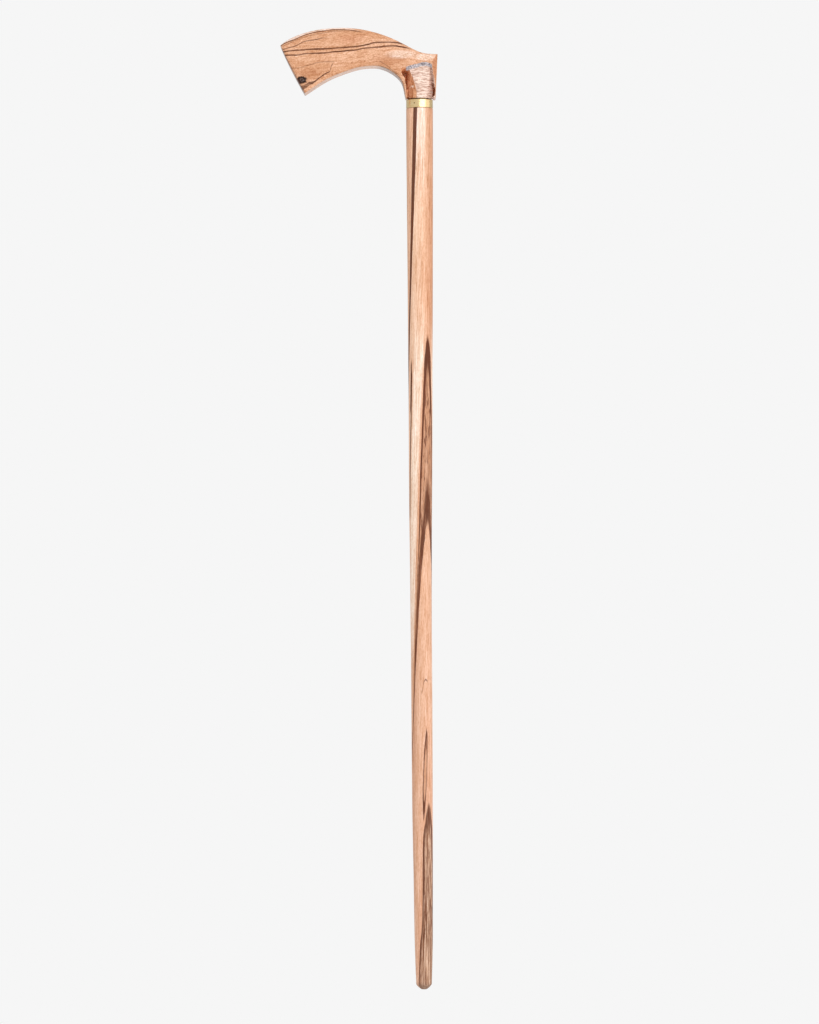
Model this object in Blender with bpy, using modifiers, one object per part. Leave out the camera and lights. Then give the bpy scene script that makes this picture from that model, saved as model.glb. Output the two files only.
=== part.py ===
"""A hand-carved wooden walking cane with a single point, as separate solids.

Frame: +Z up, the origin at the middle of the tip's flat end. The shaft's axis is +Z, the handle's
nose points along -X, its heel along +X, and the handle's two flat sides face -Y and +Y.

Pieces: handle, shaft, collar, collar_pin, joint_stud, handle_bedding, shaft_bedding.
"""

import math

import bmesh
import bpy
from mathutils import Matrix, Vector

MM = 0.001

# ---- Driving dimensions, in metres ----
COLLAR_RADIUS = 12.7 * MM  # a one-inch collar, flush with the shaft
COLLAR_WALL = 1.0 * MM
COLLAR_HEIGHT = 7.9 * MM
HANDLE_BASE_Z = 846.0 * MM  # the sawn underside of the handle's neck
JOINT_LINE = 1.0 * MM  # the groove left between the collar and the neck
BOARD_THICKNESS = 30.0 * MM  # the plank that the handle is sawn from
EDGE_ROUND = 2.8 * MM
EDGE_STEPS = 3
GAP = 0.3 * MM  # between pieces that touch on the real cane

# ---- Joint between handle and shaft ----
STUD_RADIUS = 4.0 * MM  # M8 threaded rod
STUD_PITCH = 1.25 * MM
STUD_THREAD_DEPTH = 0.65 * MM
STUD_TURNS = 50
STUD_IN_HANDLE = 27.0 * MM
STUD_SIDES = 14
BORE_RADIUS = 5.2 * MM
BEDDING_OUTER = 4.92 * MM
BEDDING_INNER = 4.25 * MM
BEDDING_FLOOR = 1.2 * MM  # glue left under the stud's ends

# ---- Collar's pin ----
PIN_SHANK_RADIUS = 0.65 * MM
PIN_HEAD_RADIUS = 1.05 * MM
PIN_HEAD_HEIGHT = 0.55 * MM
PIN_PROUD = 0.12 * MM
PIN_LENGTH = 7.0 * MM
PIN_CLEARANCE = 0.18 * MM
PIN_TURN = math.radians(-23.0)  # round the collar from -Y, towards the nose

# ---- Worked out from the above ----
COLLAR_TOP_Z = HANDLE_BASE_Z - JOINT_LINE
COLLAR_BASE_Z = COLLAR_TOP_Z - COLLAR_HEIGHT
SHOULDER_Z = COLLAR_BASE_Z - GAP
SPIGOT_RADIUS = COLLAR_RADIUS - COLLAR_WALL - GAP
SPIGOT_TOP_Z = HANDLE_BASE_Z - GAP
HANDLE_BORE_TOP_Z = HANDLE_BASE_Z + STUD_IN_HANDLE + BEDDING_FLOOR + 2 * GAP
STUD_TOP_Z = HANDLE_BASE_Z + STUD_IN_HANDLE
STUD_BASE_Z = STUD_TOP_Z - STUD_TURNS * STUD_PITCH
SHAFT_BORE_BASE_Z = STUD_BASE_Z - BEDDING_FLOOR - 2 * GAP

# ---- Shaft: (height, radius) and (height, how far its axis strays along X), in millimetres ----
# It is shaved by hand, so its taper is a little uneven and its axis bows by a millimetre.
SHAFT_RADII = [
    (5.2, 7.4),
    (18.0, 7.95),
    (32.0, 8.3),
    (50.0, 8.7),
    (110.0, 9.2),
    (150.0, 9.6),
    (190.0, 9.85),
    (270.0, 10.0),
    (330.0, 10.05),
    (418.0, 10.45),
    (480.0, 11.0),
    (560.0, 11.35),
    (704.0, 12.15),
    (790.0, 12.6),
    (SHOULDER_Z / MM, 12.7),
]
SHAFT_BOW = [
    (0.0, 0.0),
    (75.0, -0.15),
    (175.0, -0.55),
    (275.0, -0.68),
    (361.0, -0.98),
    (466.0, -0.85),
    (561.0, -0.42),
    (704.0, -0.15),
    (SHOULDER_Z / MM, 0.0),
]
SHAFT_RINGS = 40
SHAFT_SIDES = 40
TIP_ROUND_TOP = 5.2  # mm, where the tip starts to round
TIP_FLAT_RADIUS = 2.6  # mm
TIP_ROUND_POWER = 1.6  # 2 would be a quarter of an ellipse, and 1 a straight chamfer
TIP_ROUND_RINGS = 6

# ---- Handle outline, in millimetres of X and Z: knots with the directions of the curve through them ----
NOSE_TOP = (-131.7, 896.4)
NOSE_FOOT = (-109.0, 850.6)
BASE = HANDLE_BASE_Z / MM
TOP_CURVE = [
    (NOSE_TOP, (12.5, 10.2)),
    ((-80.0, 912.6), (21.0, 1.1)),
    ((-19.0, 899.2), (19.0, -9.6)),
    ((17.4, 887.3), (18.0, -0.3)),
]
HEEL_LINE = [(16.8, 875.0), (15.3, BASE)]
WASTE_LINE = [(15.0, BASE - 8.0), (-11.5, BASE - 8.0)]  # below the base, to be sawn off
PALM_CURVE = [
    ((-13.2, BASE), (-1.7, 6.3)),
    ((-18.2, 863.6), (-3.4, 4.6)),
    ((-44.5, 876.4), (-12.5, -0.4)),
    ((-76.0, 869.2), (-15.0, -5.4)),
    (NOSE_FOOT, (-10.0, -6.1)),
]
NOSE_CURVE = [(NOSE_FOOT, (-6.0, 10.5)), (NOSE_TOP, (-5.2, 13.5))]
CURVE_STEPS = 10

# ---- Neck: the column left standing in a pocket carved into each side of the plank ----
# It is round at its foot and knifed into flats above. Each level is a height, then the corners between
# the flats as (X, distance from the plank's middle), from the palm's side round the front to the heel's.
NECK_FOOT = (0.9, 11.2)  # X of the middle and radius, in millimetres
NECK_LEVELS = [
    (BASE + 1.8, [(-11.0, 4.8), (-2.7, 11.3), (6.5, 10.6), (12.8, 4.2)]),
    (BASE + 5.0, [(-11.3, 5.0), (-2.6, 11.8), (6.8, 10.9), (13.0, 4.6)]),
    (BASE + 10.5, [(-11.5, 5.4), (-3.6, 12.0), (8.1, 11.0), (13.0, 5.4)]),
    (BASE + 19.0, [(-11.7, 6.2), (-6.2, 12.2), (8.9, 11.8), (12.4, 7.0)]),
    (BASE + 25.5, [(-11.2, 7.4), (-9.2, 12.4), (9.8, 12.3), (12.0, 8.4)]),
    (BASE + 38.0, [(-11.2, 8.4), (-10.6, 12.7), (10.4, 12.7), (12.0, 9.0)]),
]
NECK_SIDES = 48
LEDGE_DROP = 3.8  # mm, down the slope between the plank's face and the column's head
LEDGE_DEPTH = 2.4 * MM
POCKET_DROP = 5.6  # mm, from the mouth's top edge down to the floor's
POCKET_DRAFT = 0.5  # mm, that each side wall leans inwards
POCKET_FLOOR_Y = 2.4 * MM  # how far each pocket's floor stays from the plank's middle
POCKET_MOUTH = [
    (-17.0, 875.3),
    (-11.2, 876.1),
    (-8.4, 877.3),
    (-1.3, 878.8),
    (0.4, 879.8),
    (6.4, 880.2),
    (10.2, 879.3),
    (12.0, 877.8),
    (14.9, 854.0),
    (14.6, 848.6),
    (11.8, BASE - 1.2),
    (11.8, BASE - 20.0),
    (-12.0, BASE - 20.0),
    (-12.2, BASE + 2.0),
    (-12.9, 856.0),
    (-14.0, 864.5),
    (-17.1, 869.6),
]

# ---- Materials: colour, roughness, metallic ----
FINISHES = {
    "handle_wood": ((0.64, 0.37, 0.21, 1.0), 0.38, 0.0),
    "shaft_wood": ((0.70, 0.43, 0.26, 1.0), 0.36, 0.0),
    "brass": ((0.80, 0.62, 0.30, 1.0), 0.28, 1.0),
    "steel": ((0.52, 0.53, 0.55, 1.0), 0.42, 1.0),
    "epoxy": ((0.62, 0.50, 0.30, 1.0), 0.55, 0.0),
}


# ---------------------------------------------------------------- helpers
def clear_scene():
    for obj in list(bpy.data.objects):
        bpy.data.objects.remove(obj)


def new_collection(name):
    collection = bpy.data.collections.new(name)
    bpy.context.scene.collection.children.link(collection)
    return collection


def finish_material(name):
    material = bpy.data.materials.get(name)
    if material is not None:
        return material
    colour, roughness, metallic = FINISHES[name]
    material = bpy.data.materials.new(name)
    material.use_nodes = True
    shader = material.node_tree.nodes["Principled BSDF"]
    shader.inputs["Base Color"].default_value = colour
    shader.inputs["Roughness"].default_value = roughness
    shader.inputs["Metallic"].default_value = metallic
    return material


def add_mesh(name, bm, collection, material=None):
    mesh = bpy.data.meshes.new(name)
    bm.normal_update()
    bm.to_mesh(mesh)
    bm.free()
    obj = bpy.data.objects.new(name, mesh)
    collection.objects.link(obj)
    if material:
        mesh.materials.append(finish_material(material))
    return obj


def add_stack(name, rings, collection, material=None):
    """A closed solid through rings of points, each joined to the next, with flat ends."""
    bm = bmesh.new()
    loops = [[bm.verts.new(point) for point in ring] for ring in rings]
    for lower, upper in zip(loops, loops[1:]):
        count = len(lower)
        for i in range(count):
            j = (i + 1) % count
            bm.faces.new((lower[i], lower[j], upper[j], upper[i]))
    bm.faces.new(loops[0][::-1])
    bm.faces.new(loops[-1])
    bmesh.ops.recalc_face_normals(bm, faces=bm.faces)
    return add_mesh(name, bm, collection, material)


def circle(radius, z, sides, centre=(0.0, 0.0)):
    turns = [2 * math.pi * i / sides for i in range(sides)]
    return [
        Vector((centre[0] + radius * math.cos(turn), centre[1] + radius * math.sin(turn), z))
        for turn in turns
    ]


def rod(name, collection, radius, span, sides, material=None):
    """A plain cylinder along Z between two heights."""
    rings = [circle(radius, z, sides) for z in span]
    return add_stack(name, rings, collection, material)


def make_cutter(obj):
    obj.hide_render = True
    obj.display_type = "WIRE"
    return obj


def boolean(obj, other, operation):
    modifier = obj.modifiers.new(f"{operation.lower()}_{other.name}", "BOOLEAN")
    modifier.operation = operation
    modifier.solver = "EXACT"
    modifier.object = other


def shade(obj, angle=35.0):
    obj.data.shade_smooth()
    obj.data.set_sharp_from_angle(angle=math.radians(angle))


def smooth_value(knots, at):
    """A smooth curve through (place, value) knots, read at one place."""
    places = [place for place, _ in knots]
    values = [value for _, value in knots]
    last = len(knots) - 1
    slopes = []
    for i in range(last + 1):
        before, after = max(i - 1, 0), min(i + 1, last)
        slopes.append((values[after] - values[before]) / (places[after] - places[before]))
    i = max(k for k in range(last) if places[k] <= at or k == 0)
    step = places[i + 1] - places[i]
    t = min(max((at - places[i]) / step, 0.0), 1.0)
    return (
        values[i] * (2 * t**3 - 3 * t**2 + 1)
        + slopes[i] * step * (t**3 - 2 * t**2 + t)
        + values[i + 1] * (3 * t**2 - 2 * t**3)
        + slopes[i + 1] * step * (t**3 - t**2)
    )


# ---------------------------------------------------------------- shaft
def shaft_stations():
    """(height, axis X, radius) of each ring in millimetres, from the flat end up to the collar's shoulder."""
    rounding = []
    first_radius = SHAFT_RADII[0][1]
    for i in range(TIP_ROUND_RINGS):
        share = i / TIP_ROUND_RINGS
        height = TIP_ROUND_TOP * share
        swell = 1 - (1 - share) ** TIP_ROUND_POWER
        radius = TIP_FLAT_RADIUS + (first_radius - TIP_FLAT_RADIUS) * swell
        rounding.append((height, smooth_value(SHAFT_BOW, height), radius))
    top = SHOULDER_Z / MM
    body = []
    for i in range(SHAFT_RINGS + 1):
        height = TIP_ROUND_TOP + (top - TIP_ROUND_TOP) * i / SHAFT_RINGS
        body.append((height, smooth_value(SHAFT_BOW, height), smooth_value(SHAFT_RADII, height)))
    return rounding + body


def build_shaft(parts, cutters):
    rings = [
        circle(radius * MM, height * MM, SHAFT_SIDES, (stray * MM, 0.0))
        for height, stray, radius in shaft_stations()
    ]
    shaft = add_stack("shaft", rings, parts, "shaft_wood")
    spigot = rod("spigot", cutters, SPIGOT_RADIUS, (SHOULDER_Z - 4 * MM, SPIGOT_TOP_Z), SHAFT_SIDES)
    bore_span = (SHAFT_BORE_BASE_Z, SPIGOT_TOP_Z + 5 * MM)
    bore = rod("shaft_bore", cutters, BORE_RADIUS, bore_span, 24)
    boolean(shaft, make_cutter(spigot), "UNION")
    boolean(shaft, make_cutter(bore), "DIFFERENCE")
    boolean(shaft, pin_tool("shaft_pin_hole", cutters, PIN_CLEARANCE), "DIFFERENCE")
    shade(shaft)
    return shaft


# ---------------------------------------------------------------- collar and its pin
def build_collar(parts, cutters):
    """A ring of brass tube, with its outer corners eased."""
    ease = 0.35 * MM
    inner = COLLAR_RADIUS - COLLAR_WALL
    profile = [
        (inner, COLLAR_TOP_Z),
        (inner, COLLAR_BASE_Z),
        (COLLAR_RADIUS - ease, COLLAR_BASE_Z),
        (COLLAR_RADIUS, COLLAR_BASE_Z + ease),
        (COLLAR_RADIUS, COLLAR_TOP_Z - ease),
        (COLLAR_RADIUS - ease, COLLAR_TOP_Z),
    ]
    bm = bmesh.new()
    verts = [bm.verts.new((radius, 0.0, height)) for radius, height in profile]
    for here, there in zip(verts, verts[1:] + verts[:1]):
        bm.edges.new((here, there))
    collar = add_mesh("collar", bm, parts, "brass")
    screw = collar.modifiers.new("turn", "SCREW")
    screw.steps = 56
    screw.render_steps = 56
    screw.use_merge_vertices = True
    screw.merge_threshold = 0.00001
    screw.use_smooth_shade = True
    boolean(collar, pin_tool("collar_pin_hole", cutters, PIN_CLEARANCE), "DIFFERENCE")
    return collar


def pin_frame():
    """Turns a solid built along Z, its head's crown at the origin, into the pin's place on the collar."""
    outward = Vector((math.sin(PIN_TURN), -math.cos(PIN_TURN), 0.0))
    place = outward * (COLLAR_RADIUS + PIN_PROUD)
    place.z = (COLLAR_TOP_Z + COLLAR_BASE_Z) / 2 + 0.3 * MM
    return Matrix.Translation(place) @ outward.to_track_quat("Z", "Y").to_matrix().to_4x4()


def pin_solid(name, collection, swell, top, material=None):
    """The pin's turned shape, grown by swell all round, its head reaching up to top."""
    profile = [
        (PIN_HEAD_RADIUS * 0.55 + swell, top),
        (PIN_HEAD_RADIUS + swell, top - PIN_PROUD),
        (PIN_HEAD_RADIUS + swell, -PIN_PROUD - PIN_HEAD_HEIGHT - swell),
        (PIN_SHANK_RADIUS + swell, -PIN_PROUD - PIN_HEAD_HEIGHT - swell),
        (PIN_SHANK_RADIUS + swell, -PIN_LENGTH + 1.2 * MM),
        (0.15 * MM, -PIN_LENGTH - swell),
    ]
    place = pin_frame()
    rings = [[place @ point for point in circle(radius, z, 16)] for radius, z in profile]
    return add_stack(name, rings, collection, material)


def pin_tool(name, cutters, swell):
    """The hole that the pin stands in, open outwards."""
    return make_cutter(pin_solid(name, cutters, swell, 1.5 * MM))


def build_pin(parts):
    pin = pin_solid("collar_pin", parts, 0.0, 0.0, "brass")
    shade(pin)
    return pin


# ---------------------------------------------------------------- stud and its glue
def build_stud(parts):
    """A length of threaded rod. Its thread is drawn as ridges, which is all that shows of one this fine."""
    root = STUD_RADIUS - STUD_THREAD_DEPTH
    rings = []
    for i in range(2 * STUD_TURNS + 1):
        radius = STUD_RADIUS if i % 2 else root
        rings.append(circle(radius, STUD_BASE_Z + STUD_PITCH * i / 2, STUD_SIDES))
    return add_stack("joint_stud", rings, parts, "steel")


def build_bedding(name, span, closed_end, parts, cutters):
    """A sleeve of cured glue between the stud and its bore, with a floor at the blind end."""
    low, high = span
    sleeve = rod(name, parts, BEDDING_OUTER, span, 24, "epoxy")
    if closed_end == "top":
        inner = (low - 1 * MM, high - BEDDING_FLOOR)
    else:
        inner = (low + BEDDING_FLOOR, high + 1 * MM)
    bore = rod(f"{name}_bore", cutters, BEDDING_INNER, inner, 24)
    boolean(sleeve, make_cutter(bore), "DIFFERENCE")
    shade(sleeve)
    return sleeve


# ---------------------------------------------------------------- handle
def bezier_point(a, b, t):
    """Between two knots, each a point with the curve's direction through it, a third of which is its handle."""
    (p0, d0), (p3, d3) = a, b
    p1 = (p0[0] + d0[0], p0[1] + d0[1])
    p2 = (p3[0] - d3[0], p3[1] - d3[1])
    s = 1 - t
    return tuple(
        s**3 * p0[k] + 3 * s * s * t * p1[k] + 3 * s * t * t * p2[k] + t**3 * p3[k] for k in (0, 1)
    )


def curve_points(knots):
    points = []
    for a, b in zip(knots, knots[1:]):
        points += [bezier_point(a, b, i / CURVE_STEPS) for i in range(CURVE_STEPS)]
    return points + [knots[-1][0]]


def handle_outline():
    """The plank's sawn outline, round from the nose's top, in millimetres of X and Z."""
    back = curve_points(TOP_CURVE) + HEEL_LINE
    palm_and_nose = curve_points(PALM_CURVE) + curve_points(NOSE_CURVE)[1:-1]
    return back + WASTE_LINE + palm_and_nose


def inset(outline, amount):
    """The closed outline moved inwards, its corners mitred. It runs clockwise in X and Z."""
    moved = []
    for i, here in enumerate(outline):
        before = Vector(outline[i - 1])
        after = Vector(outline[(i + 1) % len(outline)])
        here = Vector(here)
        back = (here - before).normalized()
        on = (after - here).normalized()
        normals = (Vector((back.y, -back.x)), Vector((on.y, -on.x)))
        mitre = (normals[0] + normals[1]).normalized()
        moved.append(here + mitre * amount / mitre.dot(normals[0]))
    return moved


def build_board(parts):
    """The sawn plank with its edges rounded over: its outline, inset step by step towards each flat side."""
    outline = handle_outline()
    radius = EDGE_ROUND / MM
    side = []
    for i in range(EDGE_STEPS + 1):
        angle = math.pi / 2 * i / EDGE_STEPS
        depth = BOARD_THICKNESS / 2 - EDGE_ROUND * (1 - math.sin(angle))
        side.append((depth, radius * (1 - math.cos(angle))))
    levels = [(-depth, amount) for depth, amount in reversed(side)] + side
    rings = []
    for y, amount in levels:
        rings.append([Vector((x * MM, y, z * MM)) for x, z in inset(outline, amount)])
    return add_stack("handle", rings, parts, "handle_wood")


def pocket_cutter(name, side, cutters):
    """The wood carved away beside the neck's column on one side of the plank.

    Its top slopes off the plank's face like a chamfer, then drops steeply to the floor.
    """
    face = BOARD_THICKNESS / 2
    levels = [
        (face + 3 * MM, 0.0, 0.0),
        (face, 0.0, 0.0),
        (face - LEDGE_DEPTH, LEDGE_DROP, 0.2 * POCKET_DRAFT),
        (POCKET_FLOOR_Y, POCKET_DROP, POCKET_DRAFT),
    ]
    middle_x = NECK_FOOT[0]
    rings = []
    for depth, drop, draft in levels:
        ring = []
        for x, z in POCKET_MOUTH:
            lowered = drop if z > 875.0 else 0.0
            inwards = math.copysign(draft, middle_x - x)
            ring.append(Vector(((x + inwards) * MM, side * depth, (z - lowered) * MM)))
        rings.append(ring)
    return make_cutter(add_stack(name, rings, cutters))


def reach(corners, angle):
    """How far a ray from the middle of a closed ring of corners goes before it leaves the ring."""
    way = Vector((math.cos(angle), math.sin(angle)))
    nearest = math.inf
    for a, b in zip(corners, corners[1:] + corners[:1]):
        outward = Vector((b.y - a.y, a.x - b.x)).normalized()
        if outward.dot(way) > 1e-6:
            nearest = min(nearest, outward.dot(a) / outward.dot(way))
    return nearest


def neck_rings():
    middle_x, foot_radius = NECK_FOOT
    rings = [circle(foot_radius * MM, HANDLE_BASE_Z, NECK_SIDES, (middle_x * MM, 0.0))]
    for z, front in NECK_LEVELS:
        corners = [Vector((x - middle_x, -y)) for x, y in front]
        corners += [Vector((x - middle_x, y)) for x, y in reversed(front)]
        ring = []
        for i in range(NECK_SIDES):
            angle = 2 * math.pi * i / NECK_SIDES
            radius = reach(corners, angle)
            x = middle_x + radius * math.cos(angle)
            y = radius * math.sin(angle)
            ring.append(Vector((x * MM, y * MM, z * MM)))
        rings.append(ring)
    return rings


def build_handle(parts, cutters):
    board = build_board(parts)
    for name, side in (("front_pocket", -1), ("back_pocket", 1)):
        boolean(board, pocket_cutter(name, side, cutters), "DIFFERENCE")
    column = add_stack("neck_column", neck_rings(), cutters)
    boolean(board, make_cutter(column), "UNION")
    saw = rod("base_saw", cutters, 60 * MM, (HANDLE_BASE_Z - 30 * MM, HANDLE_BASE_Z), 16)
    boolean(board, make_cutter(saw), "DIFFERENCE")
    bore = rod("handle_bore", cutters, BORE_RADIUS, (HANDLE_BASE_Z - 3 * MM, HANDLE_BORE_TOP_Z), 24)
    boolean(board, make_cutter(bore), "DIFFERENCE")
    shade(board)
    return board


# ---------------------------------------------------------------- the whole cane
def main():
    clear_scene()
    parts = new_collection("walking_cane")
    cutters = new_collection("cutters")
    build_handle(parts, cutters)
    build_shaft(parts, cutters)
    build_collar(parts, cutters)
    build_pin(parts)
    build_stud(parts)
    build_bedding(
        "handle_bedding",
        (HANDLE_BASE_Z + GAP, HANDLE_BORE_TOP_Z - GAP),
        "top",
        parts,
        cutters,
    )
    build_bedding(
        "shaft_bedding",
        (SHAFT_BORE_BASE_Z + GAP, SPIGOT_TOP_Z - GAP),
        "bottom",
        parts,
        cutters,
    )


main()
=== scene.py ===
"""The looks of a hand-carved wooden walking cane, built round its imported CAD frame.

Everything is in metres in the CAD's frame: +Z up the shaft, the handle's nose along -X, its flat
sides facing -Y and +Y. Most numbers below are in millimetres, and MM turns them into metres.
"""

import math

import bmesh
import bpy
import numpy as np
from mathutils import Matrix, Vector, noise
from mathutils.bvhtree import BVHTree


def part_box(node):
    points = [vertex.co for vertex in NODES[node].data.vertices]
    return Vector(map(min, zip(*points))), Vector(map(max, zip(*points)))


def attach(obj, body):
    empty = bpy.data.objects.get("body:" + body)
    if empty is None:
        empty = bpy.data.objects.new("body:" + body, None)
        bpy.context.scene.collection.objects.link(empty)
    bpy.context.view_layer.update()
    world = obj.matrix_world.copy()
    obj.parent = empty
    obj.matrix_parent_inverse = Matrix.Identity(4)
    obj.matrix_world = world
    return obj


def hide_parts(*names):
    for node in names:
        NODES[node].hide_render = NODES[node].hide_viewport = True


MM = 0.001
JOIN_WITHIN = 0.01
SHARP_ANGLE = math.radians(50)
NOISE_GAIN = 2.6  # brings Blender's noise, which stays near 0.5, to about -1 to 1

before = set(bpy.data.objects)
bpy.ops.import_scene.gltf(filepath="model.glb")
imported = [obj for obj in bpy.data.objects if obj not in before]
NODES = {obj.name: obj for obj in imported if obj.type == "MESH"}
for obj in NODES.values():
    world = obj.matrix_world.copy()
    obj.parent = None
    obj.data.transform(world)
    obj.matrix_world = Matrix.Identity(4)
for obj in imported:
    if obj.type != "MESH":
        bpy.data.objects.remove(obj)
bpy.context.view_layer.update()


# ================================================================ small helpers
def new_object(name, mesh, slot_name, *replaced):
    obj = bpy.data.objects.new(name, mesh)
    bpy.context.scene.collection.objects.link(obj)
    if replaced:
        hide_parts(*replaced)
    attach(obj, "root")
    return obj


def mend(mesh, join):
    """Turns the faces outwards, after joining points that meet if join is true."""
    bm = bmesh.new()
    bm.from_mesh(mesh)
    if join:
        bmesh.ops.remove_doubles(bm, verts=bm.verts, dist=JOIN_WITHIN * MM)
    bmesh.ops.recalc_face_normals(bm, faces=bm.faces)
    bm.to_mesh(mesh)
    bm.free()


def mesh_from_rings(name, rings, close_ends=True):
    """Quads through rings of points, as (ring, point, xyz).

    Without close_ends, points that meet are joined, so a last ring that repeats the first closes it.
    """
    rings = np.asarray(rings, dtype=np.float64)
    count, sides = rings.shape[:2]
    index = np.arange(count * sides).reshape(count, sides)
    here, there = index[:-1], index[1:]
    quads = np.stack(
        [here, np.roll(here, -1, axis=1), np.roll(there, -1, axis=1), there], axis=-1
    ).reshape(-1, 4)
    faces = [tuple(int(i) for i in quad) for quad in quads]
    if close_ends:
        faces.append(tuple(int(i) for i in index[0][::-1]))
        faces.append(tuple(int(i) for i in index[-1]))
    mesh = bpy.data.meshes.new(name)
    mesh.from_pydata((rings.reshape(-1, 3) * MM).tolist(), [], faces)
    mend(mesh, join=not close_ends)
    mesh.shade_smooth()
    return mesh


def points_of(mesh):
    """The mesh's points in millimetres."""
    flat = np.empty(len(mesh.vertices) * 3)
    mesh.vertices.foreach_get("co", flat)
    return flat.reshape(-1, 3) / MM


def normals_of(mesh):
    flat = np.empty(len(mesh.vertices) * 3)
    mesh.vertex_normals.foreach_get("vector", flat)
    return flat.reshape(-1, 3)


def set_points(mesh, points):
    mesh.vertices.foreach_set("co", (points * MM).ravel())
    mesh.update()


def paint(mesh, name, values):
    """Keeps one number per point, for the material to read."""
    layer = mesh.attributes.new(name, "FLOAT", "POINT")
    layer.data.foreach_set("value", np.asarray(values, dtype=np.float32))


def smooth_step(low, high, value):
    t = np.clip((value - low) / (high - low), 0.0, 1.0)
    return t * t * (3 - 2 * t)


def noise_at(points, scale, seed=0.0):
    """Smooth noise from about -1 to 1 at each point. scale is its size in millimetres along x, y and z."""
    stretched = points / np.asarray(scale) + seed
    return np.array([noise.noise(Vector(p)) for p in stretched])


def neighbours_mean(mesh, values, rounds):
    """The values after some rounds of averaging each point with those that share an edge with it."""
    edges = np.empty(len(mesh.edges) * 2, dtype=np.int64)
    mesh.edges.foreach_get("vertices", edges)
    a, b = edges.reshape(-1, 2).T
    count = len(mesh.vertices)
    degree = np.maximum(np.bincount(np.concatenate([a, b]), minlength=count), 1)
    values = np.array(values, dtype=np.float64)
    for _ in range(rounds):
        total = np.stack(
            [
                np.bincount(a, weights=column[b], minlength=count)
                + np.bincount(b, weights=column[a], minlength=count)
                for column in values.T
            ],
            axis=-1,
        )
        values = 0.5 * values + 0.5 * total / degree[:, None]
    return values


def spline(knots, at):
    """A smooth curve through (place, value) knots, read at many places."""
    places = np.array([place for place, _ in knots], dtype=np.float64)
    values = np.array([value for _, value in knots], dtype=np.float64)
    slopes = np.gradient(values, places)
    i = np.clip(np.searchsorted(places, at) - 1, 0, len(places) - 2)
    step = places[i + 1] - places[i]
    t = np.clip((at - places[i]) / step, 0.0, 1.0)
    return (
        values[i] * (2 * t**3 - 3 * t**2 + 1)
        + slopes[i] * step * (t**3 - 2 * t**2 + t)
        + values[i + 1] * (3 * t**2 - 2 * t**3)
        + slopes[i + 1] * step * (t**3 - t**2)
    )


# ================================================================ material building
def srgb(code):
    """A hex colour as the linear RGBA that a shader takes."""
    parts = [int(code[i : i + 2], 16) / 255 for i in (0, 2, 4)]
    linear = [p / 12.92 if p <= 0.04045 else ((p + 0.055) / 1.055) ** 2.4 for p in parts]
    return (*linear, 1.0)


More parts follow.
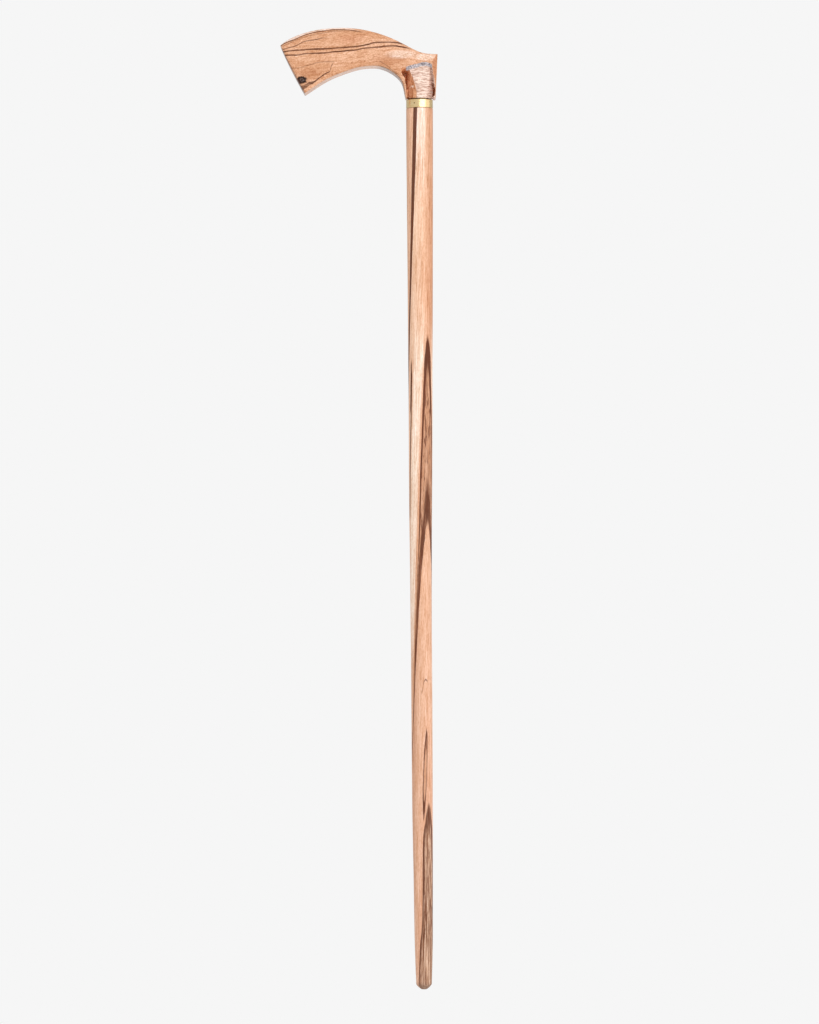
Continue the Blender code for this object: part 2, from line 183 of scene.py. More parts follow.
class Maker:
    """Builds one material's nodes. Its methods take sockets or plain numbers and return a socket."""

    def __init__(self, name):
        self.material = bpy.data.materials.new(name)
        self.material.use_nodes = True
        self.tree = self.material.node_tree
        self.shader = self.tree.nodes["Principled BSDF"]
        where = self.node("ShaderNodeTexCoord").outputs["Object"]
        self.mm = self.vector("SCALE", where, scale=1 / MM)
        split = self.node("ShaderNodeSeparateXYZ")
        self.join(self.mm, split.inputs[0])
        self.x, self.y, self.z = split.outputs

    def node(self, kind):
        return self.tree.nodes.new(kind)

    def join(self, value, socket):
        if isinstance(value, bpy.types.NodeSocket):
            self.tree.links.new(value, socket)
        else:
            socket.default_value = value

    def math(self, operation, a, b=0.0, clamp=False):
        node = self.node("ShaderNodeMath")
        node.operation = operation
        node.use_clamp = clamp
        for value, socket in zip((a, b), node.inputs):
            self.join(value, socket)
        return node.outputs[0]

    def add(self, a, b):
        return self.math("ADD", a, b)

    def sub(self, a, b):
        return self.math("SUBTRACT", a, b)

    def mul(self, a, b):
        return self.math("MULTIPLY", a, b)

    def highest(self, first, *others):
        for other in others:
            first = self.math("MAXIMUM", first, other)
        return first

    def vector(self, operation, a, b=(0.0, 0.0, 0.0), scale=1.0):
        node = self.node("ShaderNodeVectorMath")
        node.operation = operation
        self.join(a, node.inputs[0])
        if operation == "SCALE":
            self.join(scale, node.inputs["Scale"])
        else:
            self.join(b, node.inputs[1])
        return node.outputs[0]

    def xyz(self, x, y, z):
        node = self.node("ShaderNodeCombineXYZ")
        for value, socket in zip((x, y, z), node.inputs):
            self.join(value, socket)
        return node.outputs[0]

    def step(self, value, low, high, out=(0.0, 1.0)):
        """Smooth rise from out[0] where value is low to out[1] where it is high."""
        node = self.node("ShaderNodeMapRange")
        node.interpolation_type = "SMOOTHSTEP"
        for number, socket in zip((value, low, high, *out), node.inputs):
            self.join(number, socket)
        return node.outputs[0]

    def bump_shape(self, value, centre, half_width, soft):
        """1 within half_width of centre, falling to 0 over soft."""
        away = self.math("ABSOLUTE", self.sub(value, centre))
        return self.step(away, self.add(half_width, soft), half_width)

    def noise(self, coords, scale, detail=2.0, roughness=0.5, seed=0.0):
        """Noise from about -1 to 1, with a size in millimetres along x, y and z."""
        place = self.vector("DIVIDE", coords, tuple(scale))
        place = self.vector("ADD", place, (seed, seed * 0.7, seed * 1.3))
        node = self.node("ShaderNodeTexNoise")
        node.noise_dimensions = "3D"
        self.join(place, node.inputs["Vector"])
        node.inputs["Scale"].default_value = 1.0
        node.inputs["Detail"].default_value = detail
        node.inputs["Roughness"].default_value = roughness
        return self.mul(self.sub(node.outputs[0], 0.5), NOISE_GAIN)

    def mix(self, factor, a, b, blend="MIX"):
        node = self.node("ShaderNodeMix")
        node.data_type = "RGBA"
        node.blend_type = blend
        node.clamp_factor = True
        self.join(factor, node.inputs[0])
        self.join(a, node.inputs[6])
        self.join(b, node.inputs[7])
        return node.outputs[2]

    def ramp(self, value, stops):
        """Colours along a value: stops are (value, hex colour) in rising order."""
        node = self.node("ShaderNodeValToRGB")
        elements = node.color_ramp.elements
        low, high = stops[0][0], stops[-1][0]
        elements[0].color = srgb(stops[0][1])
        elements[1].color = srgb(stops[-1][1])
        for place, colour in stops[1:-1]:
            element = elements.new((place - low) / (high - low))
            element.color = srgb(colour)
        self.join(self.math("DIVIDE", self.sub(value, low), high - low), node.inputs[0])
        return node.outputs[0]

    def curve(self, value, points):
        """A drawn line: value in, the curve's height out. points are (place, height)."""
        node = self.node("ShaderNodeFloatCurve")
        first, last = points[0][0], points[-1][0]
        heights = [height for _, height in points]
        low, span = min(heights), max(heights) - min(heights)
        knots = [((place - first) / (last - first), (height - low) / span) for place, height in points]
        curve = node.mapping.curves[0]
        curve.points[0].location = knots[0]
        curve.points[1].location = knots[-1]
        for place, height in knots[1:-1]:
            curve.points.new(place, height)
        node.mapping.update()
        share = self.math("DIVIDE", self.sub(value, first), last - first, clamp=True)
        self.join(share, node.inputs["Value"])
        return self.add(self.mul(node.outputs[0], span), low)

    def tint(self, colour, tone):
        """The colour times a tone near 1. Where it darkens, it turns redder, as wood does."""
        red = self.math("POWER", tone, 0.6)
        blue = self.math("POWER", tone, 1.4)
        return self.mix(1.0, colour, self.xyz(red, tone, blue), "MULTIPLY")

    def attribute(self, name):
        node = self.node("ShaderNodeAttribute")
        node.attribute_name = name
        return node.outputs["Fac"]

    def finish(self, colour, roughness, height_mm, **settings):
        """Wires up the shader. Settings are the same all over, and are named as its inputs are."""
        bump = self.node("ShaderNodeBump")
        bump.inputs["Distance"].default_value = MM
        bump.inputs["Strength"].default_value = 1.0
        self.join(height_mm, bump.inputs["Height"])
        self.join(bump.outputs[0], self.shader.inputs["Normal"])
        self.join(colour, self.shader.inputs["Base Color"])
        self.join(roughness, self.shader.inputs["Roughness"])
        for name, value in settings.items():
            self.shader.inputs[name.replace("_", " ")].default_value = value
        return self.material


# ================================================================ shaft
COLLAR_LOW, COLLAR_HIGH = (corner[2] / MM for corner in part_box("collar"))
SHOULDER_Z = COLLAR_LOW - 0.3
SPIGOT_TOP_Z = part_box("shaft")[1][2] / MM
SPIGOT_RADIUS = 11.4
BORE_RADIUS = 5.2
BORE_FLOOR_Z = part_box("shaft_bedding")[0][2] / MM - 0.3
TIP_FLAT_RADIUS = 2.6
TIP_TOP_Z = 5.2
TIP_POWER = 1.6  # 1 would leave a straight chamfer, and more rounds it
TIP_RINGS = 10
POLE_RADIUS = 0.3  # of the smallest ring, at the middle of the tip and of the bore's floor
SHAFT_SIDES = 112
SHAFT_STEP = 2.0


def cad_shaft_shape():
    """(height, radius) and (height, how far the axis strays along X) for each ring of the CAD's shaft."""
    points = points_of(NODES["shaft"].data)
    heights = np.sort(points[:, 2])
    ring_heights = heights[np.diff(heights, prepend=-1.0) > 0.3]
    radii, bow = [], []
    for height in ring_heights:
        if not TIP_TOP_Z - 0.1 < height < SHOULDER_Z + 0.1:
            continue
        ring = points[np.abs(points[:, 2] - height) < 0.2, :2]
        if height > SHOULDER_Z - 1:
            ring = ring[np.hypot(*ring.T) > SPIGOT_RADIUS + 0.5]
        # Some rings have gaps, so a circle is fitted: on one, x² + y² = 2 middle x + rest.
        terms = np.column_stack([2 * ring[:, 0], np.ones(len(ring))])
        (middle, rest), *_ = np.linalg.lstsq(terms, (ring**2).sum(axis=1), rcond=None)
        radius = math.sqrt(rest + middle**2)
        if radius > BORE_RADIUS + 0.5:
            radii.append((height, radius))
            bow.append((height, middle))
    return radii, bow


def shaft_profile(cad_radii):
    """(height, radius) pairs from the tip up the outside, over the spigot and down the bore."""
    tip_radius = cad_radii[0][1]
    profile = [(0.0, POLE_RADIUS)]
    for i in range(TIP_RINGS):
        share = i / TIP_RINGS
        swell = 1 - (1 - share) ** TIP_POWER
        profile.append((TIP_TOP_Z * share, TIP_FLAT_RADIUS + (tip_radius - TIP_FLAT_RADIUS) * swell))
    heights = np.linspace(TIP_TOP_Z, SHOULDER_Z - 0.5, int((SHOULDER_Z - TIP_TOP_Z) / SHAFT_STEP))
    radii = spline(cad_radii, heights)
    profile += list(zip(heights, radii))
    edge = radii[-1]
    profile += [
        (SHOULDER_Z - 0.2, edge - 0.05),
        (SHOULDER_Z, edge - 0.3),
        (SHOULDER_Z, SPIGOT_RADIUS),
        (SPIGOT_TOP_Z - 0.3, SPIGOT_RADIUS),
        (SPIGOT_TOP_Z, SPIGOT_RADIUS - 0.3),
        (SPIGOT_TOP_Z, BORE_RADIUS),
        (BORE_FLOOR_Z, BORE_RADIUS),
        (BORE_FLOOR_Z, POLE_RADIUS),
    ]
    return np.array(profile)


def build_shaft():
    cad_radii, cad_bow = cad_shaft_shape()
    heights, radii = shaft_profile(cad_radii).T
    turn = np.linspace(0, 2 * math.pi, SHAFT_SIDES, endpoint=False)
    bow = spline(cad_bow, np.clip(heights, cad_bow[0][0], cad_bow[-1][0]))
    x = bow[:, None] + radii[:, None] * np.cos(turn)
    y = radii[:, None] * np.sin(turn)
    z = np.repeat(heights[:, None], SHAFT_SIDES, axis=1)
    mesh = mesh_from_rings("cane_shaft", np.stack([x, y, z], axis=-1))
    shave(mesh)
    return new_object("cane_shaft", mesh, "shaft_wood", "shaft")


def shave(mesh):
    """The unevenness that a spokeshave leaves: long shallow flats, and small dips."""
    points = points_of(mesh)
    normals = normals_of(mesh)
    z = points[:, 2]
    outside = np.hypot(points[:, 0], points[:, 1]) > BORE_RADIUS + 1
    fade = smooth_step(6, 30, z) * (1 - smooth_step(SHOULDER_Z - 12, SHOULDER_Z - 3, z)) * outside
    depth = 0.11 * noise_at(points, (7, 7, 55), 3.1) + 0.035 * noise_at(points, (4, 4, 18), 9.4)
    tip = (1 - smooth_step(2, 22, z)) * outside * smooth_step(0.02, 1.2, z)
    depth = depth * fade + 0.12 * tip * noise_at(points, (3, 3, 3), 5.5)
    set_points(mesh, points + normals * depth[:, None])


# ================================================================ handle
# The mouth of the neck's pockets on each face of the plank, as (X, Z).
MOUTH = [
    (-17.0, 875.3), (-11.2, 876.1), (-8.4, 877.3), (-1.3, 878.8), (0.4, 879.8), (6.4, 880.2),
    (10.2, 879.3), (12.0, 877.8), (14.9, 854.0), (14.6, 848.6), (13.8, 840.0), (-12.6, 840.0),
    (-12.9, 856.0), (-14.0, 864.5), (-17.1, 869.6),
]
MOUTH_TOP = MOUTH[:8]
NECK_LEFT = -11.9
NECK_RIGHT = 13.5
LEDGE_LEFT = -12.6
LEDGE_DROP = 3.9
# Where the heel's cut corner starts, and where the painted shade on the palm beside the neck ends, as (Z, X).
HEEL_LINE = [(860.0, 14.9), (878.0, 12.4), (881.0, 12.9), (887.3, 16.7)]
PALM_LINE = [
    (846.0, -13.4), (856.0, -14.2), (864.5, -15.4), (869.5, -19.0), (875.2, -29.2), (880.2, -36.7),
]
HEEL_TOP = (16.8, 875.0)  # X and Z, as are the next corners
HEEL_LEAN = 1.5 / 29.0  # how far the heel's back leans in over each millimetre of its height
NOSE_TOP = (-132.6, 896.0)
NOSE_FOOT = (-109.3, 851.5)
PLANK_HALF = 15.0
HANDLE_VOXEL = 0.57
KNIFE_STEP = 1.9  # between the knife's ripples down the neck
# Where the neck's front flat meets the flat on the palm's side, as (Z, X).
FLAT_EDGE = [(846.0, -2.8), (851.0, -2.6), (856.5, -3.6), (865.0, -6.2), (871.5, -9.2), (884.0, -10.6)]


def solid_copy(node, name):
    """A copy of a CAD node's mesh with its corners joined and no materials."""
    mesh = NODES[node].data.copy()
    mesh.name = name
    mesh.materials.clear()
    mend(mesh, join=True)
    return mesh


def build_handle():
    """The CAD's handle in small even faces, drawn back onto its surface, then carved."""
    obj = new_object("cane_handle", solid_copy("handle", "cane_handle"), "handle_wood", "handle")
    surface = BVHTree.FromObject(obj, bpy.context.evaluated_depsgraph_get())
    remesh = obj.modifiers.new("fine", "REMESH")
    remesh.mode = "VOXEL"
    remesh.voxel_size = HANDLE_VOXEL * MM
    graph = bpy.context.evaluated_depsgraph_get()
    mesh = bpy.data.meshes.new_from_object(obj.evaluated_get(graph), depsgraph=graph)
    obj.modifiers.clear()
    obj.data = mesh
    mesh.name = "cane_handle"
    mesh.shade_smooth()
    points = neighbours_mean(mesh, points_of(mesh), 2)
    drawn = [surface.find_nearest(Vector(point) * MM)[0] for point in points]
    points = np.array([list(point) for point in drawn]) / MM
    set_points(mesh, points)
    carve(mesh)
    return obj


def inside_mouth(x, z):
    """How far inside the pocket's mouth each point is, seen square to the plank; negative outside it."""
    nearest = np.full(x.shape, np.inf)
    inside = np.zeros(x.shape, dtype=bool)
    for (ax, az), (bx, bz) in zip(MOUTH, MOUTH[1:] + MOUTH[:1]):
        along = ((x - ax) * (bx - ax) + (z - az) * (bz - az)) / ((bx - ax) ** 2 + (bz - az) ** 2)
        along = np.clip(along, 0.0, 1.0)
        away = np.hypot(x - ax - along * (bx - ax), z - az - along * (bz - az))
        nearest = np.minimum(nearest, away)
        if az != bz:
            crossing = ax + (z - az) * (bx - ax) / (bz - az)
            inside ^= ((az > z) != (bz > z)) & (x < crossing)
    return np.where(inside, nearest, -nearest)


def carve(mesh):
    """Marks the neck with knife and rasp, makes the rest a little uneven, and paints the masks."""
    points = points_of(mesh)
    normals = normals_of(mesh)
    x, y, z = points.T
    depth_in = PLANK_HALF - np.abs(y)
    within = inside_mouth(x, z)
    carved = smooth_step(0.25, 0.55, depth_in) * smooth_step(-0.5, 0.0, within)
    # The palm's curve and the back of the heel stay finished, as does the rounded edge of the plank.
    palm_x = spline([(844.0, -13.2), (850.0, -14.0), (857.0, -16.0), (864.0, -18.4), (876.0, -40.0)], z)
    carved = carved * smooth_step(0.5, 1.0, x - palm_x)
    heel_x = HEEL_TOP[0] - (HEEL_TOP[1] - z) * HEEL_LEAN
    carved = carved * smooth_step(0.5, 1.0, heel_x - x)

    edge_z, edge_x = np.array(FLAT_EDGE).T
    mouth_x, mouth_z = np.array(MOUTH_TOP).T
    below_mouth = np.interp(x, mouth_x, mouth_z) - z
    side_flat = smooth_step(0.3, -0.3, x - np.interp(z, edge_z, edge_x)) * carved
    facing_down = smooth_step(0.15, 0.45, -normals[:, 2])
    ledge = carved * smooth_step(LEDGE_DROP + 0.6, LEDGE_DROP, below_mouth) * facing_down
    ledge = ledge * smooth_step(-0.5, 0.5, x - LEDGE_LEFT)
    on_column = smooth_step(NECK_LEFT - 0.4, NECK_LEFT, x) * smooth_step(NECK_RIGHT + 0.4, NECK_RIGHT, x)
    # Painted shade in the deep grooves beside the column.
    groove_shade = carved * smooth_step(0.6, 2.2, depth_in) * (1 - ledge)
    groove_shade = groove_shade * (1 - on_column * smooth_step(3.0, 5.0, np.abs(y)))
    front = smooth_step(0.35, 0.7, np.abs(normals[:, 1]))

    chatter = np.sin(2 * math.pi * (z + 0.5 * noise_at(points, (4, 4, 3), 1.7)) / KNIFE_STEP)
    patches = smooth_step(-0.4, 0.2, noise_at(points, (4, 4, 4), 7.7))
    rough = noise_at(points, (1.3, 1.3, 1.3), 2.2)
    hollows = noise_at(points, (4.5, 4.5, 8), 11.0)
    depth = carved * (0.12 * rough + 0.22 * hollows)
    depth = depth + carved * on_column * front * (0.16 * chatter * patches)
    depth = depth + ledge * 0.4 * noise_at(points, (1.5, 1.5, 1.0), 14.0)

    # The heel's back corner is cut away a little, and what isn't carved is not quite even.
    heel_z, heel_edge = np.array(HEEL_LINE).T
    past_heel = x - np.interp(z, heel_z, heel_edge)
    heel = smooth_step(-0.2, 0.3, past_heel) * smooth_step(889.0, 886.5, z) * (1 - carved)
    heel = heel * smooth_step(2.6, 1.2, depth_in)
    depth = depth - 0.12 * heel * np.clip(past_heel, 0.0, 4.0)
    worn = 0.05 * noise_at(points, (14, 14, 14), 20.0) * (1 - carved)
    points = points + normals * (depth + worn)[:, None]

    # The knife wandered along the mouth's rim.
    near_rim = smooth_step(1.8, 0.4, np.abs(within)) * smooth_step(3.0, 1.5, depth_in)
    near_rim = near_rim * smooth_step(846.5, 849.0, z)
    points[:, 0] += 0.45 * near_rim * noise_at(points, (1.7, 6.0, 1.7), 40.0)
    points[:, 2] += 0.55 * near_rim * noise_at(points, (1.5, 6.0, 1.9), 47.0)
    set_points(mesh, points)

    # Painted shade on the palm's bevel beside the neck, where it turns left and down.
    line_z, line_x = np.array(PALM_LINE).T
    palm_shade = smooth_step(-0.5, 0.6, np.interp(z, line_z, line_x) - x) * smooth_step(881.0, 876.0, z)
    palm_shade = palm_shade * smooth_step(-44.0, -33.0, x) * smooth_step(0.9, 0.4, np.abs(normals[:, 1]))
    (top_x, top_z), (foot_x, foot_z) = NOSE_TOP, NOSE_FOOT
    length = math.hypot(foot_x - top_x, foot_z - top_z)
    from_nose = ((x - top_x) * (top_z - foot_z) + (z - top_z) * (foot_x - top_x)) / length
    nose = smooth_step(1.2, 0.2, from_nose)

    paint(mesh, "carved", carved)
    paint(mesh, "side_flat", side_flat)
    paint(mesh, "groove_shade", groove_shade)
    paint(mesh, "ledge", ledge)
    paint(mesh, "heel", heel)
    paint(mesh, "palm_shade", palm_shade)
    paint(mesh, "nose", nose)


# ================================================================ collar and pin
COLLAR_RADIUS = 12.7
COLLAR_INNER = 11.7
COLLAR_SIDES = 180
COLLAR_EASE = 0.32  # the rounding of its outer corners
COLLAR_CORNER_STEPS = 5
COLLAR_BANDS = 9
PIN_TURN = math.radians(-23.0)
PIN_Z = 841.3
PIN_SIDES = 32


def build_collar():
    """A ring of brass tube, its corners filed round."""
    top, bottom = COLLAR_HIGH - COLLAR_EASE, COLLAR_LOW + COLLAR_EASE

    def corner(z, start, end):
        shares = [i / COLLAR_CORNER_STEPS for i in range(COLLAR_CORNER_STEPS + 1)]
        turns = [math.radians(start + (end - start) * share) for share in shares]
        middle = COLLAR_RADIUS - COLLAR_EASE
        return [(middle + COLLAR_EASE * math.cos(t), z + COLLAR_EASE * math.sin(t)) for t in turns]

    side = [(COLLAR_RADIUS, top - (top - bottom) * i / COLLAR_BANDS) for i in range(1, COLLAR_BANDS)]
    outline = corner(top, 90, 0) + side + corner(bottom, 0, -90)
    outline += [(COLLAR_INNER, COLLAR_LOW), (COLLAR_INNER, COLLAR_HIGH)]
    turn = np.linspace(0, 2 * math.pi, COLLAR_SIDES, endpoint=False)
    rings = [
        [(r * math.cos(t), r * math.sin(t), z) for t in turn] for r, z in outline + outline[:1]
    ]
    mesh = mesh_from_rings("cane_collar", rings, close_ends=False)
    mesh.set_sharp_from_angle(angle=SHARP_ANGLE)
    return new_object("cane_collar", mesh, "collar_brass", "collar")


def build_pin():
    """A small round-headed brad, its head a little sunk and worn."""
    outward = Vector((math.sin(PIN_TURN), -math.cos(PIN_TURN), 0.0))
    place = outward * (COLLAR_RADIUS + 0.1)
    place.z = PIN_Z
    matrix = Matrix.Translation(place) @ outward.to_track_quat("Z", "Y").to_matrix().to_4x4()
    profile = [
        (0.03, 0.0), (0.35, -0.02), (0.6, -0.08), (0.8, -0.2), (0.86, -0.4), (0.86, -0.65),
        (0.5, -0.68), (0.5, -5.4), (0.05, -6.6),
    ]
    turn = np.linspace(0, 2 * math.pi, PIN_SIDES, endpoint=False)
    rings = [
        [matrix @ Vector((r * math.cos(t), r * math.sin(t), h)) for t in turn] for r, h in profile
    ]
    mesh = mesh_from_rings("cane_collar_pin", rings)
    mesh.set_sharp_from_angle(angle=SHARP_ANGLE)
    return new_object("cane_collar_pin", mesh, "pin_brass", "collar_pin")


# ================================================================ materials
SHAFT_GRAIN_TURN = math.radians(38.0)  # the way the shaft's layers face, round from -Y towards +X
SHAFT_GRAIN_SLOPE = 0.0353  # how much the layers lean off the shaft's axis
VEIN_HEIGHT = 889.0  # where the handle's main vein runs, about
KNOT_PLACE = (-111.6, 863.2)
KNOT_REACH = (5.0, 3.7)


def fibres(m, across, around, along, seed):
    """Fine streaks along the grain, from about -1 to 1: a soft and a crisp set together."""
    soft = m.noise(m.xyz(across, around, along), (1.1, 1.6, 45.0), 3.0, 0.6, seed)
    crisp = m.noise(m.xyz(across, around, along), (0.32, 0.5, 11.0), 3.0, 0.65, seed + 5.0)
    return m.add(m.mul(soft, 0.6), m.mul(crisp, 0.55))


def pores(m, across, around, along, seed):
    """Short dark dashes along the grain, 1 in a pore and 0 outside."""
    dashes = m.noise(m.xyz(across, around, along), (0.3, 0.45, 2.6), 1.0, 0.5, seed)
    return m.step(dashes, 0.42, 0.75)


def stripe(m, value, centre, half_width, soft_low, soft_high):
    """1 within half_width of centre, fading over soft_low below it and soft_high above it."""
    low = m.sub(centre, half_width)
    high = m.add(centre, half_width)
    rise = m.step(value, m.sub(low, soft_low), low)
    fall = m.step(value, m.add(high, soft_high), high)
    return m.mul(rise, fall)


def window(m, value, low, high, soft):
    return m.mul(m.step(value, low - soft, low), m.step(value, high + soft, high))


def shaft_wood():
    m = Maker("shaft_wood")
    sin, cos = math.sin(SHAFT_GRAIN_TURN), math.cos(SHAFT_GRAIN_TURN)
    across = m.sub(m.mul(m.x, sin), m.mul(m.y, cos))
    around = m.add(m.mul(m.x, cos), m.mul(m.y, sin))
    layer = m.sub(across, m.mul(m.z, SHAFT_GRAIN_SLOPE))
    drift = m.noise(m.mm, (9.0, 9.0, 95.0), 1.0, 0.5, 2.0)
    waver = m.noise(m.mm, (2.2, 2.2, 20.0), 2.0, 0.5, 8.0)
    layer = m.add(layer, m.add(m.mul(drift, 0.22), m.mul(waver, 0.12)))
    streaks = fibres(m, layer, around, m.z, 1.0)
    coarse = m.noise(m.xyz(layer, around, m.z), (0.8, 1.3, 32.0), 3.0, 0.62, 30.0)

    colour = m.ramp(
        m.add(layer, m.mul(streaks, 0.25)),
        [
            (-44.0, "cf9c78"), (-40.0, "e6b593"), (-36.0, "cfa07e"), (-31.0, "e6b695"),
            (-25.0, "e9b897"), (-21.0, "eec3a4"), (-16.5, "ecc0a1"), (-12.0, "e2ae8c"),
            (-10.3, "d9a07c"), (-8.0, "d5a182"), (-5.0, "e0ae8e"), (0.0, "e2b091"), (3.0, "dca686"),
            (6.0, "c09678"), (9.0, "c79e80"), (12.0, "b28a6d"),
        ],
    )
    pale = m.mul(stripe(m, layer, -14.0, 2.6, 2.0, 1.6), window(m, m.z, 370.0, 580.0, 80.0))
    colour = m.mix(m.mul(pale, 0.8), colour, srgb("fbe2cc"))
    heel_side = m.mul(m.step(m.x, 3.0, 10.0), window(m, m.z, 640.0, 840.0, 60.0))
    colour = m.mix(m.mul(heel_side, 0.75), colour, srgb("c58a66"))
    # Painted highlight: a paler patch on the front of the upper shaft, where its coat reflects the key light.
    painted_front_highlight = m.mul(window(m, m.x, -3.0, 3.0, 3.5), m.step(m.y, 0.0, -4.0))
    painted_front_highlight = m.mul(painted_front_highlight, m.step(m.z, 740.0, 830.0))
    colour = m.mix(m.mul(painted_front_highlight, 0.6), colour, srgb("fbe0d0"))
    blush = m.noise(m.mm, (7.0, 7.0, 38.0), 2.0, 0.5, 4.0)
    colour = m.mix(m.mul(m.step(blush, 0.05, 0.9), 0.35), colour, srgb("dd9f78"))

    # The first stripe: a dark vein down the palm side of the upper half, which runs off round the left.
    first_line = m.curve(m.z, [
        (430.0, -30.5), (580.0, -26.0), (620.0, -24.7), (660.0, -23.7), (700.0, -23.0),
        (750.0, -22.45), (800.0, -22.3), (837.0, -22.5),
    ])
    first_width = m.step(m.z, 640.0, 780.0, (0.95, 1.35))
    first = stripe(m, layer, first_line, first_width, 0.9, 0.35)
    first_streaks = m.step(m.add(coarse, m.mul(first, 1.1)), 0.1, 0.95)
    first = m.mul(first, m.add(0.62, m.mul(first_streaks, 0.38)))

    # A thinner pair of lines just round the left, lower down.
    limb = m.add(
        m.mul(stripe(m, layer, -20.6, 0.6, 0.4, 0.3), window(m, m.z, 552.0, 592.0, 7.0)),
        m.mul(stripe(m, layer, -19.8, 0.6, 0.3, 0.25), window(m, m.z, 452.0, 582.0, 8.0)),
    )
    limb = m.mul(limb, m.step(coarse, -1.6, -0.2))

    # The second stripe: a leading line, mottled wood behind it, and a dark trailing edge.
    lead_line = m.curve(m.z, [
        (150.0, -13.2), (200.0, -12.4), (240.0, -11.6), (270.0, -11.0), (300.0, -10.6),
        (350.0, -9.9), (400.0, -9.3), (430.0, -8.9), (500.0, -9.35), (560.0, -9.7),
        (600.0, -10.2),
    ])
    trail_line = m.curve(m.z, [
        (150.0, -12.4), (200.0, -11.2), (240.0, -10.2), (270.0, -9.1), (300.0, -8.3),
        (350.0, -7.1), (400.0, -6.2), (430.0, -5.7), (457.0, -5.6), (600.0, -6.4),
    ])
    inside = m.mul(
        m.step(layer, m.sub(lead_line, 0.15), m.add(lead_line, 0.1)),
        m.step(layer, m.add(trail_line, 0.1), m.sub(trail_line, 0.15)),
    )
    lead_soft = m.step(m.z, 395.0, 440.0)
    lead = m.mul(stripe(m, layer, m.add(lead_line, 0.3), 0.25, 0.25, 0.35), lead_soft)
    trail_width = m.add(0.3, m.mul(window(m, m.z, 330.0, 420.0, 40.0), 0.5))
    trail = stripe(m, layer, m.sub(trail_line, trail_width), trail_width, 0.7, 0.2)
    trail_breaks = m.step(coarse, -0.9, 0.1)
    trail = m.mul(m.mul(trail, trail_breaks), window(m, m.z, 235.0, 480.0, 25.0))
    mottle = m.noise(m.xyz(layer, around, m.z), (0.75, 1.2, 20.0), 3.0, 0.62, 6.0)
    mottle = m.mul(m.step(mottle, 0.0, 0.3), m.mul(inside, m.step(m.z, 285.0, 400.0)))
    second = m.highest(lead, trail, m.mul(mottle, 0.9))
    stained = m.mul(inside, m.step(m.z, 190.0, 300.0))
    colour = m.mix(m.mul(stained, 0.5), colour, srgb("b07a56"))

    # A closed loop of vein further down, round the end of a buried twig.
    loop_rag = m.noise(m.xyz(across, around, m.z), (1.2, 1.4, 8.0), 2.0, 0.6, 33.0)
    loop_middle = m.add(2.2, m.mul(m.sub(m.z, 208.0), 0.038))
    loop_across = m.math("DIVIDE", m.sub(m.x, loop_middle), 1.7)
    loop_height = m.math("DIVIDE", m.sub(m.z, 205.5), 38.0)
    loop = m.math("SQRT", m.add(m.mul(loop_across, loop_across), m.mul(loop_height, loop_height)))
    loop = m.add(loop, m.mul(loop_rag, 0.14))
    in_front = m.step(m.y, -1.0, -3.0)
    loop_line = m.mul(m.bump_shape(loop, 0.9, 0.14, 0.16), m.step(coarse, -1.1, 0.0))
    loop_line = m.mul(loop_line, m.mul(in_front, m.step(loop_across, 1.2, 0.2, (0.55, 1.0))))
    loop_shade = m.mul(m.mul(m.step(loop, 1.0, 0.6), in_front), m.step(coarse, -0.5, 0.4))
    colour = m.mix(m.mul(loop_shade, 0.6), colour, srgb("a9744f"))

    # The dark heart of the tip.
    heart_line = m.curve(m.z, [
        (0.0, 0.5), (25.0, 1.8), (45.0, 2.5), (62.0, 3.5), (85.0, 3.3), (120.0, 2.55),
        (142.0, 2.25), (160.0, 2.9), (190.0, 3.2), (230.0, 3.6),
    ])
    into_heart = m.sub(layer, heart_line)
    heart_wood = m.step(into_heart, -0.15, 0.35)
    heart_tone = m.mix(m.step(coarse, -0.45, 0.5), srgb("74452f"), srgb("d8ae90"))
    colour = m.mix(m.mul(heart_wood, 0.85), colour, heart_tone)
    heart_edge = m.mul(m.step(into_heart, -0.1, 0.2), m.step(into_heart, 1.7, 0.4))
    heart_mottle = m.noise(m.xyz(layer, around, m.z), (0.85, 1.3, 13.0), 3.0, 0.62, 12.0)
    heart_reach = m.step(m.z, 100.0, 60.0, (3.2, 5.5))
    heart_mottle = m.mul(m.step(heart_mottle, 0.08, 0.3), m.step(into_heart, heart_reach, 0.8))
    heart = m.highest(m.mul(heart_edge, 0.85), m.mul(m.mul(heart_wood, heart_mottle), 0.9))

    # A small hooked fleck in the light wood between them.
    hook_line = m.curve(m.x, [(-1.2, 280.0), (0.4, 287.5), (2.2, 294.0), (3.6, 294.0), (5.4, 290.5)])
    hook_line = m.add(hook_line, m.mul(loop_rag, 1.6))
    hook = m.mul(m.bump_shape(m.z, hook_line, 0.5, 0.8), window(m, m.x, -0.6, 4.4, 0.8))
    hook = m.mul(m.mul(hook, in_front), m.step(coarse, -1.0, 0.2, (0.35, 0.8)))

    dark = m.highest(first, second, loop_line, heart, limb, hook)
    dark = m.mul(dark, m.add(0.97, m.mul(streaks, 0.15)))
    vein = m.mix(m.step(streaks, -0.9, 0.9), srgb("361304"), srgb("6e3012"))
    colour = m.mix(m.mul(dark, 0.97), colour, vein)

    holes = pores(m, layer, around, m.z, 3.0)
    ticks = m.noise(m.xyz(across, around, m.z), (0.8, 0.8, 3.2), 2.0, 0.6, 37.0)
    figure = m.add(m.mul(streaks, 0.42), m.add(m.mul(coarse, 0.55), m.mul(ticks, 0.3)))
    tone = m.add(1.0, m.sub(figure, m.mul(holes, 0.2)))
    colour = m.tint(colour, tone)
    worn_tip = m.step(m.z, 9.0, 1.0)
    colour = m.mix(m.mul(worn_tip, 0.6), colour, srgb("7d6759"))
    # Painted shade: the part that goes up inside the handle, and shows in the gap between the collar and the
    # handle, is painted nearly black.
    colour = m.mix(m.step(m.z, 844.4, 844.9), colour, srgb("3a2618"))

